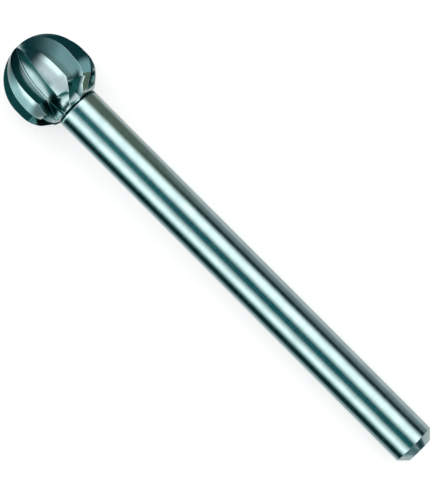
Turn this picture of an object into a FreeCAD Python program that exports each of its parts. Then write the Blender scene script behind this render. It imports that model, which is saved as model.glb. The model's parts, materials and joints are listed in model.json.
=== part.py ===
import FreeCAD, Part

# Ball-headed high-speed cutter bit for a rotary tool: one bar of tool steel, turned and then ground.
# It is shaped along +X with the ball's centre at the origin, the nose towards -X and the shank
# towards +X, and is laid down at the end as it rests on a table. Millimetres and degrees.

import math
import os

from FreeCAD import Vector

# Sizes of the turned bar
SHANK_DIAMETER = 3.2
HEAD_DIAMETER = 6.4
OVERALL_LENGTH = 39.2
BELT_LENGTH = 0.46  # short cylinder round the widest part of the ball
BACK_RADIUS = 2.3  # arc from the belt down to the neck
NECK_DIAMETER = 3.0
NECK_WIDTH = 0.08  # notch between the ball and the shank, its far side sloped up to the shank
END_CHAMFER = 0.6

# Sizes of the teeth
TOOTH_COUNT = 7
LAND_ANGLE = 24.0  # how far each land reaches behind its cutting edge
LAND_RELIEF_OFFSET = 0.22  # sideways shift of the turned shape behind each cutting edge
FLUTE_DEPTH = 1.25  # at the deepest place
FLUTE_NOSE_CLEARANCE = 0.05  # how far ahead of the nose the flute's bottom meets the axis
FLUTE_ROOT_RADIUS = 0.06
FLUTE_CREST = 0.8  # axial place where the flute's bottom is furthest from the axis

# Sizes of the run-out at the back of the flutes
RUNOUT_START = 1.0
RUNOUT_SKEW = 31.0
RUNOUT_ANGLE = 75.0

# Flat ground on the back of each tooth
FACET_DISTANCE = 3.1  # from the ball's centre
FACET_ELEVATION = 43.0
FACET_TURN = 32.0  # behind the cutting edge

HEAD_RADIUS = HEAD_DIAMETER / 2
SHANK_RADIUS = SHANK_DIAMETER / 2
NECK_RADIUS = NECK_DIAMETER / 2
TOOTH_PITCH = 360 / TOOTH_COUNT
RELIEVED_RADIUS = math.hypot(HEAD_RADIUS, LAND_RELIEF_OFFSET)
BACK_CENTRE_RADIUS = RELIEVED_RADIUS - BACK_RADIUS
HEAD_END = BELT_LENGTH + math.sqrt(BACK_RADIUS**2 - (SHANK_RADIUS - BACK_CENTRE_RADIUS) ** 2)
SHOULDER = HEAD_END + NECK_WIDTH
SHANK_END = OVERALL_LENGTH - HEAD_RADIUS
SHANK_RIM = SHANK_END - END_CHAMFER
FLUTE_BOTTOM_RADIUS = HEAD_RADIUS - FLUTE_DEPTH
REACH = HEAD_DIAMETER  # how far the grinding tools reach past the steel
FRONT_SWING = 100.0  # turn of the wheel from the flute's crest to past the nose
BACK_SWING = 60.0  # and from the crest to past the neck
DIAGONAL = math.sqrt(0.5)  # middle of a quarter arc, as a share of its radius

ORIGIN = Vector(0, 0, 0)
AXIS = Vector(1, 0, 0)
SIDE = Vector(0, 1, 0)
OUT = Vector(0, 0, 1)


def at(x, r):
    return Vector(x, 0, r)


def turned(edges, degrees=360):
    return Part.Face(Part.Wire(edges)).revolve(ORIGIN, AXIS, degrees)


def turned_ball():
    """The ball as turned: a round front, a short belt and a back that closes in on the neck."""
    back_end = at(BELT_LENGTH + BACK_RADIUS, BACK_CENTRE_RADIUS)
    back_middle = at(BELT_LENGTH + BACK_RADIUS * DIAGONAL, BACK_CENTRE_RADIUS + BACK_RADIUS * DIAGONAL)
    nose = at(-RELIEVED_RADIUS, 0)
    front_middle = at(-RELIEVED_RADIUS * DIAGONAL, RELIEVED_RADIUS * DIAGONAL)
    belt_front = at(0, RELIEVED_RADIUS)
    belt_back = at(BELT_LENGTH, RELIEVED_RADIUS)
    return turned(
        [
            Part.Arc(nose, front_middle, belt_front).toShape(),
            Part.makeLine(belt_front, belt_back),
            Part.Arc(belt_back, back_middle, back_end).toShape(),
            Part.makeLine(back_end, at(back_end.x, 0)),
            Part.makeLine(at(back_end.x, 0), nose),
        ]
    )


def relieved_ball():
    """The ball with each tooth's land falling away behind its edge."""
    wedge = turned(
        [
            Part.makeLine(at(-REACH, 0), at(-REACH, REACH)),
            Part.makeLine(at(-REACH, REACH), at(HEAD_END, REACH)),
            Part.makeLine(at(HEAD_END, REACH), at(HEAD_END, 0)),
            Part.makeLine(at(HEAD_END, 0), at(-REACH, 0)),
        ],
        TOOTH_PITCH,
    )
    shifted = turned_ball()
    shifted.translate(SIDE * LAND_RELIEF_OFFSET)
    sector = shifted.common(wedge)
    sectors = round_the_axis(sector)
    return sectors[0].fuse(sectors[1:])


def shank():
    neck_centre = at(HEAD_END, 0)
    neck = at(HEAD_END, NECK_RADIUS)
    shoulder = at(SHOULDER, SHANK_RADIUS)
    rim = at(SHANK_RIM, SHANK_RADIUS)
    face_edge = at(SHANK_END, SHANK_RADIUS - END_CHAMFER)
    face_centre = at(SHANK_END, 0)
    return turned(
        [
            Part.makeLine(neck_centre, neck),
            Part.makeLine(neck, shoulder),
            Part.makeLine(shoulder, rim),
            Part.makeLine(rim, face_edge),
            Part.makeLine(face_edge, face_centre),
            Part.makeLine(face_centre, neck_centre),
        ]
    )


def round_the_axis(shape):
    copies = []
    for n in range(TOOTH_COUNT):
        copy = shape.copy()
        copy.rotate(ORIGIN, AXIS, TOOTH_PITCH * n)
        copies.append(copy)
    return copies


def wheel_section(bottom, opening):
    """Section of the grinding wheel: one wall straight out along OUT, the other opened from it
    towards SIDE, with a rounded root."""
    half = math.radians(opening) / 2
    back = OUT * math.cos(2 * half) + SIDE * math.sin(2 * half)
    middle = OUT * math.cos(half) + SIDE * math.sin(half)
    run = FLUTE_ROOT_RADIUS / math.tan(half)
    centre = bottom + middle * (FLUTE_ROOT_RADIUS / math.sin(half))
    rake_foot = bottom + OUT * run
    back_foot = bottom + back * run
    rake_top = bottom + OUT * REACH
    back_top = bottom + back * REACH
    return Part.Face(
        Part.Wire(
            [
                Part.Arc(rake_foot, centre - middle * FLUTE_ROOT_RADIUS, back_foot).toShape(),
                Part.makeLine(back_foot, back_top),
                Part.makeLine(back_top, rake_top),
                Part.makeLine(rake_top, rake_foot),
            ]
        )
    )


def land_end():
    """Angle and radius of the back of a land, whose cutting edge is at angle zero."""
    angle = math.radians(LAND_ANGLE)
    drop = LAND_RELIEF_OFFSET * math.sin(angle)
    radius = math.sqrt(RELIEVED_RADIUS**2 - (LAND_RELIEF_OFFSET * math.cos(angle)) ** 2) - drop
    return angle, radius


def flute():
    """What is ground out for one flute, its rake face in the XZ plane and the rest on +Y."""
    angle, radius = land_end()
    gap = math.radians(TOOTH_PITCH) - angle
    rise = radius * math.cos(gap) - FLUTE_BOTTOM_RADIUS
    opening = math.degrees(math.atan2(radius * math.sin(gap), rise))
    run = FLUTE_CREST + HEAD_RADIUS + FLUTE_NOSE_CLEARANCE
    swing = (run**2 + FLUTE_BOTTOM_RADIUS**2) / (2 * FLUTE_BOTTOM_RADIUS)
    pivot_height = FLUTE_BOTTOM_RADIUS - swing
    section = wheel_section(at(FLUTE_CREST, FLUTE_BOTTOM_RADIUS), opening)
    front = section.copy().revolve(at(FLUTE_CREST, pivot_height), SIDE, -FRONT_SWING)
    back = section.copy().revolve(at(FLUTE_CREST, pivot_height), SIDE, BACK_SWING)
    start = at(RUNOUT_START, FLUTE_BOTTOM_RADIUS)
    runout = wheel_section(start, RUNOUT_ANGLE)
    runout = runout.revolve(at(RUNOUT_START, pivot_height), SIDE, BACK_SWING)
    runout.rotate(start, OUT, -RUNOUT_SKEW)
    return [front, back, runout]


def back_facet():
    """Block whose flat underside grinds the facet behind the land's end."""
    block = Part.makeBox(REACH, REACH, REACH, Vector(-REACH / 2, -REACH / 2, FACET_DISTANCE))
    block.rotate(ORIGIN, SIDE, FACET_ELEVATION)
    block.rotate(ORIGIN, AXIS, FACET_TURN)
    return block


def cutter_bit():
    tools = []
    for tool in flute() + [back_facet()]:
        tools.extend(round_the_axis(tool))
    head = relieved_ball().cut(tools)
    return head.fuse(shank()).removeSplitter()


def laid_down(bit):
    """The bit at rest: a flute of the head faces straight down and rests on its two lips, and
    the shank's end rests on its rim."""
    angle, radius = land_end()
    pitch = math.radians(TOOTH_PITCH)
    down = math.atan2(
        radius * math.cos(angle) - HEAD_RADIUS * math.cos(pitch),
        HEAD_RADIUS * math.sin(pitch) - radius * math.sin(angle),
    )
    head_height = HEAD_RADIUS * math.cos(pitch - down)
    dip = math.atan2(head_height - SHANK_RADIUS, SHANK_RIM - BELT_LENGTH)
    laid = bit.copy()
    laid.rotate(ORIGIN, AXIS, 180 - math.degrees(down))
    laid.rotate(ORIGIN, SIDE, math.degrees(dip))
    box = laid.optimalBoundingBox()
    laid.translate(Vector(-box.Center.x, -box.Center.y, -box.ZMin))
    return laid


def main():
    bit = laid_down(cutter_bit())
    os.makedirs("parts", exist_ok=True)
    bit.exportStep("parts/cutter_bit.step")


main()
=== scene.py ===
import bpy
import json
import math
from mathutils import Matrix, Vector


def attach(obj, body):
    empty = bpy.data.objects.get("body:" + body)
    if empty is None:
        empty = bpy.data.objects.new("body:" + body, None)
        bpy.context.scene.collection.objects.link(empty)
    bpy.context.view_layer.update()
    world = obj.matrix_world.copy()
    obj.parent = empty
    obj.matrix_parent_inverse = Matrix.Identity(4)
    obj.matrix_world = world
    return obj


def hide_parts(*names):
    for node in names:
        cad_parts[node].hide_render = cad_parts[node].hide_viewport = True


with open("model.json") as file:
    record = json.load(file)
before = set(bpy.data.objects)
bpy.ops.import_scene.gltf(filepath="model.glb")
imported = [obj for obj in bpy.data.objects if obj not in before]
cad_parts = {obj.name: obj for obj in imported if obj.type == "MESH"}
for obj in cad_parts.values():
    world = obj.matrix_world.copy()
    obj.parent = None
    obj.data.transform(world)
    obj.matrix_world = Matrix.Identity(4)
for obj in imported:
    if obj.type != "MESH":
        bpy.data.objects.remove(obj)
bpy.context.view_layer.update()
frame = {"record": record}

MM = 0.001

# Sizes of the bit, in millimetres

HEAD_RADIUS = 3.2
RELIEF = 0.22  # each land falls away behind its edge as if turned about an axis moved this far
BELT = 0.46  # short cylinder round the widest part of the ball
BACK_RADIUS = 2.3
NECK_RADIUS = 1.5
NECK_WIDTH = 0.08
CORE_RADIUS = 1.3  # of the bar inside the head
SHANK_RADIUS = 1.6
SHANK_END = 36.0  # from the ball's centre
END_CHAMFER = 0.6

TEETH = 7
PITCH = 2 * math.pi / TEETH
LAND = math.radians(24)
FLUTE_BOTTOM = 1.95  # of the flute at its crest, from the axis
FLUTE_CREST = 0.8  # place along the axis where the flute's bottom is furthest from it
FLUTE_NOSE = 0.05  # how far ahead of the nose that bottom meets the axis
FLUTE_SWEEP = math.radians(160)
FLUTE_LEAD = math.radians(100)  # the part of the sweep that lies ahead of the crest
ROOT_RADIUS = 0.06
RUNOUT_START = 1.0
RUNOUT_SKEW = math.radians(31)
RUNOUT_OPENING = math.radians(75)
RUNOUT_SWEEP = math.radians(60)
FACET_DISTANCE = 3.1  # from the ball's centre
FACET_RISE = math.radians(43)
FACET_TURN = math.radians(32)
REACH = 6.4  # how far the grinding tools reach past the steel

RELIEVED_RADIUS = math.hypot(HEAD_RADIUS, RELIEF)
BACK_CENTRE = RELIEVED_RADIUS - BACK_RADIUS  # centre of the back's arc, from the axis
HEAD_END = BELT + math.sqrt(BACK_RADIUS**2 - (SHANK_RADIUS - BACK_CENTRE) ** 2)
SHOULDER = HEAD_END + NECK_WIDTH
SHANK_RIM = SHANK_END - END_CHAMFER
LAND_RADIUS = (
    math.sqrt(RELIEVED_RADIUS**2 - (RELIEF * math.cos(LAND)) ** 2) - RELIEF * math.sin(LAND)
)

# Facets of the curved faces
BALL_FRONT_STEPS = 60
BALL_BACK_STEPS = 50
BALL_ROUND_STEPS = 240
SHANK_ROUND_STEPS = 192
ROOT_STEPS = 8
FLUTE_STEPS = 120
RUNOUT_STEPS = 45
SMOOTH_ANGLE = math.radians(18)
MERGE_GAP = 0.00001  # corners nearer than this are one
SPECK = 0.000001  # edges shorter than this go

# Where the bit lies: its shank is the record's pin, and a flute of the head faces straight down
shank_pin = frame["record"]["mounts"][0]
AXIS = Vector(shank_pin["axis"])
BALL_CENTRE = Vector(shank_pin["pos_m"]) - AXIS * (SHOULDER + SHANK_RIM) / 2 * MM
DIP = math.atan2(-AXIS.z, AXIS.x)
TOP = Vector((math.sin(DIP), 0, math.cos(DIP)))
FAR_SIDE = Vector((0, 1, 0))
FLUTE_DOWN = math.atan2(
    LAND_RADIUS * math.cos(LAND) - HEAD_RADIUS * math.cos(PITCH),
    HEAD_RADIUS * math.sin(PITCH) - LAND_RADIUS * math.sin(LAND),
)
ROLL = math.pi - FLUTE_DOWN


def linear(hex_colour):
    """sRGB hex to linear, with full alpha."""
    out = []
    for i in (0, 2, 4):
        c = int(hex_colour[i:i + 2], 16) / 255
        out.append(c / 12.92 if c <= 0.04045 else ((c + 0.055) / 1.055) ** 2.4)
    return (*out, 1.0)


def tint(hex_colour, strength):
    """Colour of a light of this strength."""
    red, green, blue, alpha = linear(hex_colour)
    return (red * strength, green * strength, blue * strength, alpha)


def grey(value):
    return (value, value, value, 1.0)


def node(tree, kind, settings=None, stops=None, **inputs):
    """Adds a node, sets its properties and colour stops, and fills or links its inputs. An input
    is given by its name or, after an i, by its number."""
    new = tree.nodes.new(kind)
    for name, value in (settings or {}).items():
        setattr(new, name, value)
    for k, (place, colour) in enumerate(stops or []):
        elements = new.color_ramp.elements
        if k < 2:
            elements[k].position = place
        else:
            elements.new(place)
        elements[k].color = colour
    for name, value in inputs.items():
        by_number = name[0] == "i" and name[1:].isdigit()
        socket = new.inputs[int(name[1:]) if by_number else name.replace("_", " ")]
        if isinstance(value, bpy.types.NodeSocket):
            tree.links.new(value, socket)
        else:
            socket.default_value = value
    return new


# The steel

# Sizes in its finish, in millimetres
MARK_PITCH = 1 / 9  # rings left by the wheel, drawn coarser than real ones so that they show
MARK_DEPTH = 0.002
MOTTLE_SIZE = 10 / 9
EDGE_BLUNTING = 0.045
RAKE_SHADE_FROM = 2.25  # painted shade on a rake face grows between these distances from the ball's centre
RAKE_SHADE_TO = 2.6
RUNOUT_SKIN = 0.15  # painted shade in a run-out grows between these depths below the turned back
RUNOUT_DEEP = 0.4
RUNOUT_FRONT = 0.9  # and between these places along the bit
RUNOUT_FULL = 1.4
NOTCH_SKIN = 0.01

# Shares in its finish
RAKE_STARTS = -0.6  # how squarely a face looks backwards round the axis
RAKE_FULL = -0.9
RAKE_LEAN = 0.3  # of the surface outwards, for the hollow
NOISE_ROUGHNESS = 0.6
MARK_LOW = 0.3  # of the rings' noise
MARK_HIGH = 0.7
MARK_STRENGTH = 0.25
SMOOTHEST = 0.11
ROUGHEST = 0.17
STRETCH = 0.5  # of lights, along the bar

# Darker and lighter tone of its mottle
BRIGHT_STEEL = ("ccd6d6", "dfe6e6")
# painted shade on the rake faces towards their edges
RAKE_PAINTED_SHADE = ("1d5454", "2e6464")
# painted shade in the run-outs and the notch
RECESS_PAINTED_SHADE = ("12403f", "245654")
MOTTLE_LOW = 0.35
MOTTLE_HIGH = 0.65


def ground_high_speed_steel():
    """High-speed steel, ground bright. The wheel's fine marks run round the bar, so lights stretch
    along it. Towards their edges the rake faces have painted shade, and so do the run-outs and
    the notch at the neck."""
    material = bpy.data.materials.new("ground high-speed steel")
    material.use_nodes = True
    tree = material.node_tree
    shader = tree.nodes["Principled BSDF"]
    place = node(tree, "ShaderNodeTexCoord").outputs["Object"]
    normal = node(tree, "ShaderNodeTexCoord").outputs["Normal"]

    # place in the bit: along its axis and out from it
    from_centre = node(
        tree, "ShaderNodeVectorMath", {"operation": "SUBTRACT"}, i0=place, i1=BALL_CENTRE
    ).outputs[0]
    along = node(
        tree, "ShaderNodeVectorMath", {"operation": "DOT_PRODUCT"}, i0=from_centre, i1=AXIS
    ).outputs["Value"]
    on_axis = node(
        tree, "ShaderNodeVectorMath", {"operation": "SCALE"}, i0=AXIS, Scale=along
    ).outputs[0]
    out = node(
        tree, "ShaderNodeVectorMath", {"operation": "SUBTRACT"}, i0=from_centre, i1=on_axis
    ).outputs[0]
    radius = node(tree, "ShaderNodeVectorMath", {"operation": "LENGTH"}, i0=out).outputs["Value"]
    out_way = node(tree, "ShaderNodeVectorMath", {"operation": "NORMALIZE"}, i0=out).outputs[0]
    round_way = node(
        tree, "ShaderNodeVectorMath", {"operation": "CROSS_PRODUCT"}, i0=AXIS, i1=out_way
    ).outputs[0]
    distance = node(
        tree, "ShaderNodeVectorMath", {"operation": "LENGTH"}, i0=from_centre
    ).outputs["Value"]

    # rings of the wheel, and a faint mottle
    ring_place = node(tree, "ShaderNodeCombineXYZ", X=along, Y=radius).outputs[0]
    rings = node(
        tree, "ShaderNodeTexNoise", {"noise_dimensions": "2D"},
        Vector=ring_place, Scale=1 / (MARK_PITCH * MM), Detail=3.0, Roughness=NOISE_ROUGHNESS,
    ).outputs[0]
    mottle = node(
        tree, "ShaderNodeTexNoise",
        Vector=place, Scale=1 / (MOTTLE_SIZE * MM), Detail=4.0, Roughness=NOISE_ROUGHNESS,
    ).outputs[0]
    bright, rake_shade_colour, recess_shade_colour = [
        node(
            tree, "ShaderNodeValToRGB",
            stops=[(MOTTLE_LOW, linear(low)), (MOTTLE_HIGH, linear(high))], Fac=mottle,
        ).outputs[0]
        for low, high in (BRIGHT_STEEL, RAKE_PAINTED_SHADE, RECESS_PAINTED_SHADE)
    ]

    # rake faces, which look backwards round the axis, with painted shade towards their edges
    faces_back = node(
        tree, "ShaderNodeVectorMath", {"operation": "DOT_PRODUCT"}, i0=normal, i1=round_way
    ).outputs["Value"]
    rake = node(
        tree, "ShaderNodeMapRange", {"interpolation_type": "SMOOTHSTEP"},
        Value=faces_back, From_Min=RAKE_STARTS, From_Max=RAKE_FULL,
    ).outputs[0]
    towards_edge = node(
        tree, "ShaderNodeMapRange", {"interpolation_type": "SMOOTHSTEP"},
        Value=distance, From_Min=RAKE_SHADE_FROM * MM, From_Max=RAKE_SHADE_TO * MM,
    ).outputs[0]
    rake_shade_share = node(
        tree, "ShaderNodeMath", {"operation": "MULTIPLY"}, i0=rake, i1=towards_edge
    ).outputs[0]

    # run-outs, which lie below the arc of the turned back, where shade is painted
    back_x = node(
        tree, "ShaderNodeMath", {"operation": "SUBTRACT"}, i0=along, i1=BELT * MM
    ).outputs[0]
    back_r = node(
        tree, "ShaderNodeMath", {"operation": "SUBTRACT"}, i0=radius, i1=BACK_CENTRE * MM
    ).outputs[0]
    back_place = node(tree, "ShaderNodeCombineXYZ", X=back_x, Y=back_r).outputs[0]
    back_distance = node(
        tree, "ShaderNodeVectorMath", {"operation": "LENGTH"}, i0=back_place
    ).outputs["Value"]
    deep = node(
        tree, "ShaderNodeMapRange", {"interpolation_type": "SMOOTHSTEP"}, Value=back_distance,
        From_Min=(BACK_RADIUS - RUNOUT_SKIN) * MM, From_Max=(BACK_RADIUS - RUNOUT_DEEP) * MM,
    ).outputs[0]
    behind = node(
        tree, "ShaderNodeMapRange", {"interpolation_type": "SMOOTHSTEP"},
        Value=along, From_Min=RUNOUT_FRONT * MM, From_Max=RUNOUT_FULL * MM,
    ).outputs[0]
    on_head = node(
        tree, "ShaderNodeMath", {"operation": "LESS_THAN"}, i0=along, i1=HEAD_END * MM
    ).outputs[0]
    deep_behind = node(
        tree, "ShaderNodeMath", {"operation": "MULTIPLY"}, i0=deep, i1=behind
    ).outputs[0]
    runout = node(
        tree, "ShaderNodeMath", {"operation": "MULTIPLY"}, i0=deep_behind, i1=on_head
    ).outputs[0]

    # the notch at the neck, too narrow for the light to reach, with its shade painted in
    at_notch = node(
        tree, "ShaderNodeMath", {"operation": "COMPARE"},
        i0=along, i1=(HEAD_END + NECK_WIDTH / 2) * MM, i2=NECK_WIDTH * MM,
    ).outputs[0]
    sunk = node(
        tree, "ShaderNodeMath", {"operation": "LESS_THAN"},
        i0=radius, i1=(SHANK_RADIUS - NOTCH_SKIN) * MM,
    ).outputs[0]
    notch = node(
        tree, "ShaderNodeMath", {"operation": "MULTIPLY"}, i0=at_notch, i1=sunk
    ).outputs[0]

    # painted shade over the bright steel: on rake faces towards their edges, in the run-outs and
    # in the notch
    colour = bright
    for share, tone in ((rake_shade_share, rake_shade_colour), (runout, recess_shade_colour), (notch, recess_shade_colour)):
        colour = node(
            tree, "ShaderNodeMix", {"data_type": "RGBA"}, i0=share, i6=colour, i7=tone
        ).outputs[2]
    tree.links.new(colour, shader.inputs["Base Color"])
    shader.inputs["Metallic"].default_value = 1.0
    rough = node(
        tree, "ShaderNodeMapRange",
        Value=rings, From_Min=MARK_LOW, From_Max=MARK_HIGH, To_Min=SMOOTHEST, To_Max=ROUGHEST,
    ).outputs[0]
    tree.links.new(rough, shader.inputs["Roughness"])
    shader.inputs["Anisotropic"].default_value = STRETCH
    tree.links.new(round_way, shader.inputs["Tangent"])

    # each ground edge is blunted a little and catches the light, and the hollow of a rake face
    # turns its surface outwards
    blunted = node(
        tree, "ShaderNodeBevel", {"samples": 8}, Radius=EDGE_BLUNTING * MM
    ).outputs[0]
    hollow = node(
        tree, "ShaderNodeMath", {"operation": "MULTIPLY"}, i0=rake, i1=RAKE_LEAN
    ).outputs[0]
    lean = node(
        tree, "ShaderNodeVectorMath", {"operation": "SCALE"}, i0=out_way, Scale=hollow
    ).outputs[0]
    leaning = node(
        tree, "ShaderNodeVectorMath", {"operation": "ADD"}, i0=blunted, i1=lean
    ).outputs[0]
    surface = node(
        tree, "ShaderNodeVectorMath", {"operation": "NORMALIZE"}, i0=leaning
    ).outputs[0]
    marked = node(
        tree, "ShaderNodeBump",
        Strength=MARK_STRENGTH, Distance=MARK_DEPTH * MM, Height=rings, Normal=surface,
    ).outputs[0]
    tree.links.new(marked, shader.inputs["Normal"])
    return material


# The bit, shaped along +X in millimetres with the ball's centre at the origin, then laid in place

def deselect():
    bpy.ops.object.select_all(action="DESELECT")


def outline(points):
    """A line of edges drawn out from point to point, left in edit mode."""
    deselect()
    bpy.ops.mesh.primitive_plane_add(size=1, location=(0, 0, 0))
    bpy.ops.object.mode_set(mode="EDIT")
    bpy.ops.mesh.merge(type="CENTER")
    bpy.ops.transform.translate(value=points[0])
    here = Vector(points[0])
    for point in points[1:]:
        step = point - here
        bpy.ops.mesh.extrude_vertices_move(TRANSFORM_OT_translate={"value": step})
        here += step
    bpy.ops.mesh.select_all(action="SELECT")
    return bpy.context.object


def arc(x, z, radius, start, end, steps):
    """Points of an arc in the XZ plane, angles in degrees from +X towards +Z."""
    points = []
    for k in range(steps + 1):
        angle = math.radians(start + (end - start) * k / steps)
        points.append(Vector((x + radius * math.cos(angle), 0, z + radius * math.sin(angle))))
    return points


def cleaned():
    bpy.ops.mesh.select_all(action="SELECT")
    bpy.ops.mesh.remove_doubles(threshold=MERGE_GAP)
    bpy.ops.mesh.dissolve_degenerate(threshold=SPECK)
    bpy.ops.mesh.select_all(action="SELECT")
    bpy.ops.mesh.normals_make_consistent(inside=False)
    bpy.ops.object.mode_set(mode="OBJECT")


def turned(points, steps, shift=0.0):
    """Closed body turned about the X axis, or about one moved sideways by shift. Its outline
    starts and ends on that axis."""
    piece = outline([point + Vector((0, shift, 0)) for point in points])
    bpy.ops.mesh.spin(steps=steps, angle=2 * math.pi, center=(0, shift, 0), axis=(1, 0, 0))
    cleaned()
    return piece


def swept(points, angle, steps, centre):
    """Closed body swept by a filled section swung about an axis along Y."""
    piece = outline(points)
    bpy.ops.mesh.edge_face_add()
    bpy.ops.mesh.spin(steps=steps, angle=-angle, center=centre, axis=(0, 1, 0))
    cleaned()
    return piece


def wheel_section(x, opening):
    """Section of the grinding wheel at one place of the flute's bottom: one wall straight out,
    the other opened from it towards +Y, with a rounded root."""
    half = opening / 2
    centre_y = ROOT_RADIUS
    centre_z = ROOT_RADIUS / math.tan(half)
    points = []
    for k in range(ROOT_STEPS + 1):
        turn = math.pi + (math.pi - opening) * k / ROOT_STEPS
        y = centre_y + ROOT_RADIUS * math.cos(turn)
        z = centre_z + ROOT_RADIUS * math.sin(turn)
        points.append(Vector((x, y, FLUTE_BOTTOM + z)))
    back_top = FLUTE_BOTTOM + REACH * math.cos(opening)
    points.append(Vector((x, REACH * math.sin(opening), back_top)))
    points.append(Vector((x, 0, FLUTE_BOTTOM + REACH)))
    return points


def wheel_swing():
    """Radius of the arc that the bottom of a flute follows."""
    run = FLUTE_CREST + HEAD_RADIUS + FLUTE_NOSE
    return (run**2 + FLUTE_BOTTOM**2) / (2 * FLUTE_BOTTOM)


def moved(piece, matrix):
    piece.data.transform(matrix)
    return piece


def twin(piece, matrix):
    copy = piece.copy()
    copy.data = piece.data.copy()
    bpy.context.scene.collection.objects.link(copy)
    return moved(copy, matrix)


def flute_cutter():
    gap = PITCH - LAND
    rise = LAND_RADIUS * math.cos(gap) - FLUTE_BOTTOM
    opening = math.atan2(LAND_RADIUS * math.sin(gap), rise)
    pivot = Vector((FLUTE_CREST, 0, FLUTE_BOTTOM - wheel_swing()))
    cutter = swept(wheel_section(FLUTE_CREST, opening), FLUTE_SWEEP, FLUTE_STEPS, pivot)
    at_pivot = Matrix.Translation(pivot)
    return moved(cutter, at_pivot @ Matrix.Rotation(-FLUTE_LEAD, 4, "Y") @ at_pivot.inverted())


def runout_cutter():
    pivot = Vector((RUNOUT_START, 0, FLUTE_BOTTOM - wheel_swing()))
    section = wheel_section(RUNOUT_START, RUNOUT_OPENING)
    cutter = swept(section, RUNOUT_SWEEP, RUNOUT_STEPS, pivot)
    start = Matrix.Translation((RUNOUT_START, 0, 0))
    return moved(cutter, start @ Matrix.Rotation(-RUNOUT_SKEW, 4, "Z") @ start.inverted())


def facet_cutter():
    deselect()
    bpy.ops.mesh.primitive_cube_add(size=REACH, location=(0, 0, 0))
    up = Matrix.Translation((0, 0, FACET_DISTANCE + REACH / 2))
    rise = Matrix.Rotation(FACET_RISE, 4, "Y")
    return moved(bpy.context.object, Matrix.Rotation(FACET_TURN, 4, "X") @ rise @ up)


def cut(piece, cutter, turn):
    """Cuts the piece with a copy of the cutter turned about the bit's axis."""
    tool = twin(cutter, Matrix.Rotation(turn, 4, "X"))
    deselect()
    bpy.context.view_layer.objects.active = piece
    boolean = piece.modifiers.new("cut", "BOOLEAN")
    boolean.operation = "DIFFERENCE"
    boolean.solver = "EXACT"
    boolean.object = tool
    bpy.ops.object.modifier_apply(modifier=boolean.name)
    bpy.data.objects.remove(tool)


def halved(through, outward):
    """Cuts off what lies outside a plane and closes the cut."""
    bpy.ops.mesh.select_all(action="SELECT")
    bpy.ops.mesh.bisect(plane_co=through, plane_no=outward, use_fill=True, clear_outer=True)


def tooth():
    """One tooth's share of the head, from its rake face to that of the next."""
    ball = arc(0, 0, RELIEVED_RADIUS, 180, 90, BALL_FRONT_STEPS)
    ball += arc(BELT, BACK_CENTRE, BACK_RADIUS, 90, 0, BALL_BACK_STEPS)
    ball.append(Vector((BELT + BACK_RADIUS, 0, 0)))
    piece = turned(ball, BALL_ROUND_STEPS, RELIEF)
    bpy.ops.object.mode_set(mode="EDIT")
    halved((0, 0, 0), (0, 1, 0))
    halved((0, 0, 0), (0, -math.cos(PITCH), -math.sin(PITCH)))
    halved((HEAD_END, 0, 0), (1, 0, 0))
    cleaned()
    flute = flute_cutter()
    runout = runout_cutter()
    facet = facet_cutter()
    cut(piece, flute, PITCH)
    for turn in (0, PITCH, 2 * PITCH):
        cut(piece, runout, turn)
    for turn in (-PITCH, 0, PITCH):
        cut(piece, facet, turn)
    for tool in (flute, runout, facet):
        bpy.data.objects.remove(tool)
    bpy.ops.object.mode_set(mode="EDIT")
    cleaned()
    return piece


def shank():
    corners = (
        (0, 0),
        (0, CORE_RADIUS),
        (HEAD_END, CORE_RADIUS),
        (HEAD_END, NECK_RADIUS),
        (SHOULDER, SHANK_RADIUS),
        (SHANK_RIM, SHANK_RADIUS),
        (SHANK_END, SHANK_RADIUS - END_CHAMFER),
        (SHANK_END, 0),
    )
    return turned([Vector((x, 0, z)) for x, z in corners], SHANK_ROUND_STEPS)


def cutter_bit():
    """The bar with seven teeth round it, laid in place."""
    bar = shank()
    first = tooth()
    teeth = [twin(first, Matrix.Rotation(PITCH * k, 4, "X")) for k in range(1, TEETH)]
    deselect()
    for part in (bar, first, *teeth):
        part.select_set(True)
    bpy.context.view_layer.objects.active = bar
    bpy.ops.object.join()
    bar.name = "ground_cutter_bit"
    laid = Matrix.Rotation(DIP, 4, "Y") @ Matrix.Rotation(ROLL, 4, "X") @ Matrix.Scale(MM, 4)
    moved(bar, Matrix.Translation(BALL_CENTRE) @ laid)
    bpy.ops.object.shade_smooth_by_angle(angle=SMOOTH_ANGLE)
    bar.data.materials.clear()
    bar.data.materials.append(ground_high_speed_steel())
    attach(bar, "root")
    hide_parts("cutter_bit")


cutter_bit()


# Camera: it looks down on the lying bit, with the ball at the upper left; lengths in metres

IMAGE_HEIGHT = 495
SENSOR_HEIGHT = 36.0
CLIP_NEAR = 0.01
CLIP_FAR = 10.0
VIEW_TURN = math.radians(9.0)  # round the bit's axis from straight above, towards the near side
VIEW_DISTANCE = 215.0 * MM
VIEW_FOOT = 26.0 * MM  # along the axis from the ball's centre to below the camera
VIEW_AIM = 16.385 * MM  # along the axis to the middle of the picture
AXIS_SLANT = math.radians(45.07)  # how the bit runs down to the right across the picture
PIXELS_ON_BALL = 14.5 / MM  # picture scale at the ball, pixels to the metre

camera_way = TOP * math.cos(VIEW_TURN) - FAR_SIDE * math.sin(VIEW_TURN)
camera_place = BALL_CENTRE + AXIS * VIEW_FOOT + camera_way * VIEW_DISTANCE
back = (camera_place - BALL_CENTRE - AXIS * VIEW_AIM).normalized()
along_bit = (AXIS - back * AXIS.dot(back)).normalized()
across_bit = back.cross(along_bit)
right = along_bit * math.cos(AXIS_SLANT) + across_bit * math.sin(AXIS_SLANT)
up = across_bit * math.cos(AXIS_SLANT) - along_bit * math.sin(AXIS_SLANT)
ball_depth = (camera_place - BALL_CENTRE).dot(back)

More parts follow.
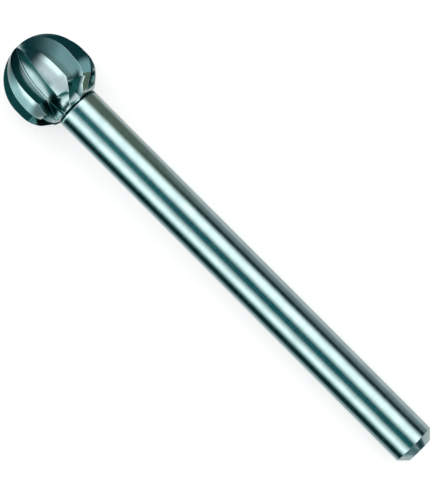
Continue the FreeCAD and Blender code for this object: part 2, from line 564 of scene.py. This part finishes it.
camera = bpy.data.cameras.new("camera")
camera.sensor_fit = "VERTICAL"
camera.sensor_height = SENSOR_HEIGHT
camera.lens = PIXELS_ON_BALL * ball_depth * SENSOR_HEIGHT / IMAGE_HEIGHT
camera.clip_start = CLIP_NEAR
camera.clip_end = CLIP_FAR
camera_object = bpy.data.objects.new("camera", camera)
bpy.context.scene.collection.objects.link(camera_object)
view_matrix = Matrix((right, up, back)).transposed().to_4x4()
view_matrix.translation = camera_place
camera_object.matrix_world = view_matrix
bpy.context.scene.camera = camera_object


# Floor, white to the camera, with the bit's soft shadow on it

FLOOR_SIZE = 3.0
PAPER = 0.9
FLOOR_GLOW = 0.45  # brings the lit paper up to white without lighting the bit


def floor():
    deselect()
    bpy.ops.mesh.primitive_plane_add(size=FLOOR_SIZE, location=(0, 0, 0))
    sheet = bpy.context.object
    sheet.name = "floor"
    material = bpy.data.materials.new("white paper floor")
    material.use_nodes = True
    tree = material.node_tree
    tree.nodes.clear()
    paper = node(tree, "ShaderNodeBsdfDiffuse", Color=grey(PAPER)).outputs[0]
    glow = node(tree, "ShaderNodeEmission", Color=grey(1.0), Strength=FLOOR_GLOW).outputs[0]
    path = node(tree, "ShaderNodeLightPath").outputs
    seen = node(
        tree, "ShaderNodeMath", {"operation": "MAXIMUM"},
        i0=path["Is Camera Ray"], i1=path["Is Transmission Ray"],
    ).outputs[0]
    nothing = node(tree, "ShaderNodeEmission", Strength=0.0).outputs[0]
    extra = node(tree, "ShaderNodeMixShader", Fac=seen, i1=nothing, i2=glow).outputs[0]
    both = node(tree, "ShaderNodeAddShader", i0=paper, i1=extra).outputs[0]
    node(tree, "ShaderNodeOutputMaterial", Surface=both)
    sheet.data.materials.append(material)
    sheet.visible_glossy = False


floor()


# Studio: soft lights round the head, and a long tube of lights and dark screens round the shank

WHITE = tint("eaffff", 1.4)
BRIGHT = tint("d6e6ea", 1.0)
PALE = tint("c8d4d4", 0.85)
MID = tint("6a989c", 0.85)
MIST = tint("aad8da", 1.0)
SHADE = tint("7aa6aa", 1.0)
SLATE = tint("6c8486", 1.0)
OLIVE = tint("5e7062", 0.9)
TEAL = tint("1c6c70", 0.9)
DEEP = tint("00585c", 1.0)
DARK = tint("003a40", 0.8)
BLACK = tint("001c1a", 0.9)

# Lights round the bit: each colour stands at an angle round its axis, in degrees from the
# camera's side towards the near side. The world's are given as seen towards the nose, across
# the bit's front, across its back, and towards the shank's end.
TOWARDS_NOSE = ((-180, DARK), (-150, DARK), (160, DARK), (180, MID))
ACROSS_FRONT = (
    (-180, SLATE), (-140, DARK), (-66, DARK), (-50, MID), (-34, WHITE), (-16, WHITE),
    (-12, BRIGHT), (8, BRIGHT), (19, SHADE), (30, SHADE), (40, MIST), (52, MIST),
    (64, WHITE), (84, WHITE), (93, MIST), (122, MIST), (140, PALE), (180, PALE),
)
ACROSS_BACK = (
    (-180, PALE), (-140, SHADE), (-60, SHADE), (-38, WHITE), (-16, BRIGHT), (8, BRIGHT),
    (40, WHITE), (60, MID), (78, SLATE), (118, SLATE), (135, PALE), (180, PALE),
)
TOWARDS_END = (
    (-180, PALE), (-140, SLATE), (-118, DARK), (60, DEEP), (100, DEEP), (122, SLATE),
    (150, MID), (180, PALE),
)
NEAR_HEAD = (
    (-180, PALE), (-108, PALE), (-88, OLIVE), (-48, OLIVE), (-30, WHITE), (-15, WHITE),
    (1, TEAL), (16, TEAL), (40, WHITE), (48, WHITE), (67, TEAL), (76, BLACK),
    (90, BLACK), (103, MID), (116, PALE), (180, PALE),
)
NEAR_END = (
    (-180, PALE), (-96, PALE), (-81, SLATE), (-69, SLATE), (-60, BLACK), (-49, DARK),
    (-31, WHITE), (-16, WHITE), (1, DEEP), (18, DEEP), (41, WHITE), (47, WHITE),
    (67, DEEP), (77, BLACK), (89, BLACK), (101, MID), (115, PALE), (180, PALE),
)

# The light tube, in millimetres from the ball's centre
TUBE_RADIUS = 3.4
TUBE_START = 2.6
TUBE_END = 42.0
TUBE_SIDES = 128
CHANGE_START = 5.0  # the lights near the head pass into those near the end between these places
CHANGE_END = 16.0

# The world's lights pass into each other between these shares of a way that lie along the axis
WORLD_CHANGES = (
    (-0.93, -0.42, ACROSS_FRONT), (-0.06, 0.25, ACROSS_BACK), (0.75, 0.97, TOWARDS_END),
)
WORLD_GLOW = 0.8  # what the floor is lit by


def turn_about_bit(tree, way):
    """Angle of a way round the bit's axis, 0 to 1 for -180 to 180 degrees from the camera."""
    near_way = AXIS.cross(camera_way)
    upward = node(
        tree, "ShaderNodeVectorMath", {"operation": "DOT_PRODUCT"}, i0=way, i1=camera_way
    ).outputs["Value"]
    sideways = node(
        tree, "ShaderNodeVectorMath", {"operation": "DOT_PRODUCT"}, i0=way, i1=near_way
    ).outputs["Value"]
    angle = node(
        tree, "ShaderNodeMath", {"operation": "ARCTAN2"}, i0=sideways, i1=upward
    ).outputs[0]
    return node(
        tree, "ShaderNodeMapRange", Value=angle, From_Min=-math.pi, From_Max=math.pi
    ).outputs[0]


def lights_round(tree, turn, value, first, *changes):
    """Lights round the bit: the first set, passing into each next one between two values."""
    colours = []
    for lights in [first] + [change[2] for change in changes]:
        stops = [((degrees + 180) / 360, colour) for degrees, colour in lights]
        ramp = node(tree, "ShaderNodeValToRGB", stops=stops, Fac=turn)
        colours.append(ramp.outputs["Color"])
    seen = colours[0]
    for (low, high, lights), colour in zip(changes, colours[1:]):
        share = node(
            tree, "ShaderNodeMapRange", {"interpolation_type": "SMOOTHSTEP"},
            Value=value, From_Min=low, From_Max=high,
        ).outputs[0]
        seen = node(
            tree, "ShaderNodeMix", {"data_type": "RGBA"}, i0=share, i6=seen, i7=colour
        ).outputs[2]
    return seen


def light_tube():
    deselect()
    bpy.ops.mesh.primitive_cylinder_add(
        vertices=TUBE_SIDES, radius=TUBE_RADIUS, depth=TUBE_END - TUBE_START,
        end_fill_type="NOTHING",
    )
    tube = bpy.context.object
    tube.name = "light_tube"
    middle = Matrix.Translation(((TUBE_START + TUBE_END) / 2, 0, 0))
    laid = Matrix.Translation(BALL_CENTRE) @ Matrix.Rotation(DIP, 4, "Y") @ Matrix.Scale(MM, 4)
    moved(tube, laid @ middle @ Matrix.Rotation(math.pi / 2, 4, "Y"))
    material = bpy.data.materials.new("strip lights and screens")
    material.use_nodes = True
    tree = material.node_tree
    tree.nodes.clear()
    place = node(tree, "ShaderNodeTexCoord").outputs["Object"]
    way = node(
        tree, "ShaderNodeVectorMath", {"operation": "SUBTRACT"}, i0=place, i1=BALL_CENTRE
    ).outputs[0]
    along = node(
        tree, "ShaderNodeVectorMath", {"operation": "DOT_PRODUCT"}, i0=way, i1=AXIS
    ).outputs["Value"]
    turn = turn_about_bit(tree, way)
    change = (CHANGE_START * MM, CHANGE_END * MM, NEAR_END)
    colour = lights_round(tree, turn, along, NEAR_HEAD, change)
    light = node(tree, "ShaderNodeEmission", Color=colour).outputs[0]
    node(tree, "ShaderNodeOutputMaterial", Surface=light)
    tube.data.materials.append(material)
    tube.visible_camera = False
    tube.visible_diffuse = False
    tube.visible_transmission = False
    tube.visible_shadow = False


def studio():
    world = bpy.data.worlds.new("studio")
    bpy.context.scene.world = world
    world.use_nodes = True
    tree = world.node_tree
    tree.nodes.clear()
    way = node(tree, "ShaderNodeTexCoord").outputs["Generated"]
    ahead = node(
        tree, "ShaderNodeVectorMath", {"operation": "DOT_PRODUCT"}, i0=way, i1=AXIS
    ).outputs["Value"]
    turn = turn_about_bit(tree, way)
    seen = lights_round(tree, turn, ahead, TOWARDS_NOSE, *WORLD_CHANGES)
    path = node(tree, "ShaderNodeLightPath").outputs
    glossy = node(tree, "ShaderNodeBackground", Color=seen).outputs[0]
    plain = node(tree, "ShaderNodeBackground", Color=grey(WORLD_GLOW)).outputs[0]
    clear = node(tree, "ShaderNodeBackground", Color=grey(1.0)).outputs[0]
    lit = node(
        tree, "ShaderNodeMixShader", Fac=path["Is Glossy Ray"], i1=plain, i2=glossy
    ).outputs[0]
    final = node(
        tree, "ShaderNodeMixShader", Fac=path["Is Camera Ray"], i1=lit, i2=clear
    ).outputs[0]
    node(tree, "ShaderNodeOutputWorld", Surface=final)


light_tube()
studio()
bpy.context.scene.view_settings.view_transform = "Standard"
